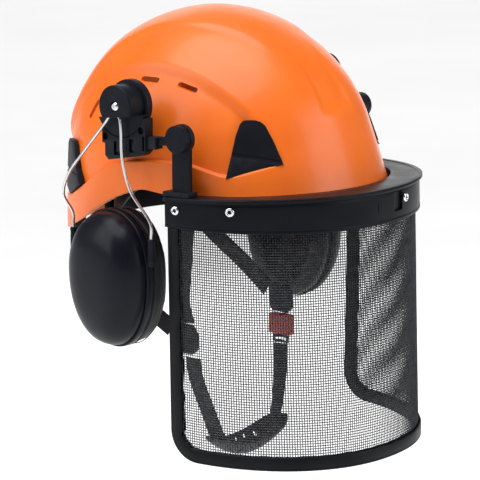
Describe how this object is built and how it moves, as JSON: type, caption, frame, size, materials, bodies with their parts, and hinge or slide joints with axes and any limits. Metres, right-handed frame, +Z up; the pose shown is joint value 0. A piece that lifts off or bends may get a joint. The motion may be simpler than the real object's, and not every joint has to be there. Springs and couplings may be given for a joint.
{
  "type": "forestry helmet",
  "caption": "Vented orange work helmet with a flip-up steel-mesh face visor, spring-wire ear muffs that swing out, an adjustable headband and a chin strap with a cup.",
  "frame": {"origin": "centre of the headband ring, level with the top of the brow guard", "axes": "+Z up towards the crown, -Y the way the wearer looks, +X towards the wearer's left"},
  "size_m": [0.2998, 0.3223, 0.3808],
  "materials": {
    "shell_orange": "injection-moulded, satin gloss",
    "black_plastic": "moulded, fine satin",
    "cup_plastic": "moulded, soft gloss",
    "webbing": "flat woven polyester webbing",
    "padding": "soft pad with a thin skin",
    "foam": "open-cell foam",
    "spring_steel": "bright drawn wire",
    "bright_steel": "plated",
    "wire_cloth": "dark coated woven steel mesh",
    "chin_plastic": "soft moulded elastomer",
    "buckle_red": "moulded, satin"
  },
  "bodies": {
    "helmet": {"shell": "shell_orange", "lamp_clip_front_left": "black_plastic", "lamp_clip_front_right": "black_plastic", "lamp_clip_rear_left": "black_plastic", "lamp_clip_rear_right": "black_plastic", "headband": "black_plastic", "sweatband": "padding", "ratchet_housing": "black_plastic", "crown_cradle": "webbing", "suspension_key_front_left": "black_plastic", "suspension_key_front_right": "black_plastic", "suspension_key_rear_left": "black_plastic", "suspension_key_rear_right": "black_plastic", "muff_adapter_left": "black_plastic", "muff_adapter_right": "black_plastic", "visor_arm_left": "black_plastic", "visor_arm_right": "black_plastic", "front_strap_left": "webbing", "front_strap_right": "webbing", "rear_strap_left": "webbing", "rear_strap_right": "webbing", "side_adjuster_left": "black_plastic", "side_adjuster_right": "black_plastic"},
    "ratchet_knob": {"ratchet_knob": "black_plastic"},
    "rack_left": {"rack_left": "black_plastic"},
    "rack_right": {"rack_right": "black_plastic"},
    "visor": {"brow_guard": "black_plastic", "visor_mesh": "wire_cloth", "visor_trim": "black_plastic", "visor_link_left": "black_plastic", "visor_link_right": "black_plastic", "rivet_side_left": "bright_steel", "rivet_front_left": "bright_steel", "rivet_centre": "bright_steel", "rivet_front_right": "bright_steel", "rivet_side_right": "bright_steel"},
    "chin_strap": {"buckle_frame": "buckle_red", "buckle_tongue": "black_plastic", "lower_strap_left": "webbing", "lower_strap_right": "webbing", "chin_cup": "chin_plastic"},
    "buckle_button": {"buckle_button": "black_plastic"},
    "hub_left": {"muff_hub_left": "black_plastic", "hub_screw_left": "bright_steel"},
    "yoke_left": {"yoke_wire_left": "spring_steel"},
    "sleeves_left": {"sleeve_front_left": "black_plastic", "sleeve_rear_left": "black_plastic"},
    "cup_left": {"ear_cup_left": "cup_plastic", "cup_plate_left": "black_plastic", "ear_cushion_left": "padding", "ear_foam_left": "foam"},
    "hub_right": {"muff_hub_right": "black_plastic", "hub_screw_right": "bright_steel"},
    "yoke_right": {"yoke_wire_right": "spring_steel"},
    "sleeves_right": {"sleeve_front_right": "black_plastic", "sleeve_rear_right": "black_plastic"},
    "cup_right": {"ear_cup_right": "cup_plastic", "cup_plate_right": "black_plastic", "ear_cushion_right": "padding", "ear_foam_right": "foam"}
  },
  "joints": [
    {"name": "visor_tilt", "type": "hinge", "parent": "helmet", "child": "visor", "pos_m": [0, -0.0572, 0.0423], "axis": [-1, 0, 0], "range_deg": [0, 88]},
    {"name": "muff_swing_left", "type": "hinge", "parent": "helmet", "child": "hub_left", "pos_m": [0.134, -0.00775, 0.0658], "axis": [1, 0, 0], "range_deg": [-4, 0.8]},
    {"name": "muff_lift_left", "type": "hinge", "parent": "hub_left", "child": "yoke_left", "pos_m": [0.1334, -0.001, 0.059], "axis": [0, -1, 0], "range_deg": [0, 32]},
    {"name": "cup_height_left", "type": "slide", "parent": "yoke_left", "child": "sleeves_left", "axis": [0.0036, -0.0347, -0.9994], "range_m": [0, 0.016]},
    {"name": "cup_tilt_left", "type": "hinge", "parent": "sleeves_left", "child": "cup_left", "pos_m": [0.12288, 0.01193, -0.05202], "axis": [0.1045, -0.9939, 0.0349], "range_deg": [-5, 5]},
    {"name": "muff_swing_right", "type": "hinge", "parent": "helmet", "child": "hub_right", "pos_m": [-0.134, -0.00775, 0.0658], "axis": [1, 0, 0], "range_deg": [-4, 0.8]},
    {"name": "muff_lift_right", "type": "hinge", "parent": "hub_right", "child": "yoke_right", "pos_m": [-0.1334, -0.001, 0.059], "axis": [0, 1, 0], "range_deg": [0, 32]},
    {"name": "cup_height_right", "type": "slide", "parent": "yoke_right", "child": "sleeves_right", "axis": [-0.0036, -0.0347, -0.9994], "range_m": [0, 0.016]},
    {"name": "cup_tilt_right", "type": "hinge", "parent": "sleeves_right", "child": "cup_right", "pos_m": [-0.12288, 0.01193, -0.05202], "axis": [0.1045, 0.9939, -0.0349], "range_deg": [-5, 5]},
    {"name": "ratchet_turn", "type": "hinge", "parent": "helmet", "child": "ratchet_knob", "pos_m": [0, 0.1066, -0.034], "axis": [0, 1, 0], "range_deg": [-150, 150]},
    {"name": "rack_slide_right", "type": "hinge", "parent": "helmet", "child": "rack_right", "pos_m": [0, 0.016, -0.034], "axis": [0, 0, 1], "range_deg": [-8, 8]},
    {"name": "rack_slide_left", "type": "hinge", "parent": "helmet", "child": "rack_left", "pos_m": [0, 0.016, -0.034], "axis": [0, 0, 1], "range_deg": [-8, 8]},
    {"name": "chin_strap_swing", "type": "hinge", "parent": "helmet", "child": "chin_strap", "pos_m": [-0.066, -0.018, -0.135], "axis": [0.9964, 0.0077, 0.085], "range_deg": [-18, 18]},
    {"name": "buckle_press", "type": "slide", "parent": "chin_strap", "child": "buckle_button", "axis": [-1, 0, 0], "range_m": [0, 0.0012], "stiffness_N_per_m": 1500}
  ],
  "couplings": [
    {"joint": "rack_slide_right", "follows": "ratchet_turn", "ratio": -0.05238},
    {"joint": "rack_slide_left", "follows": "ratchet_turn", "ratio": 0.05238}
  ]
}
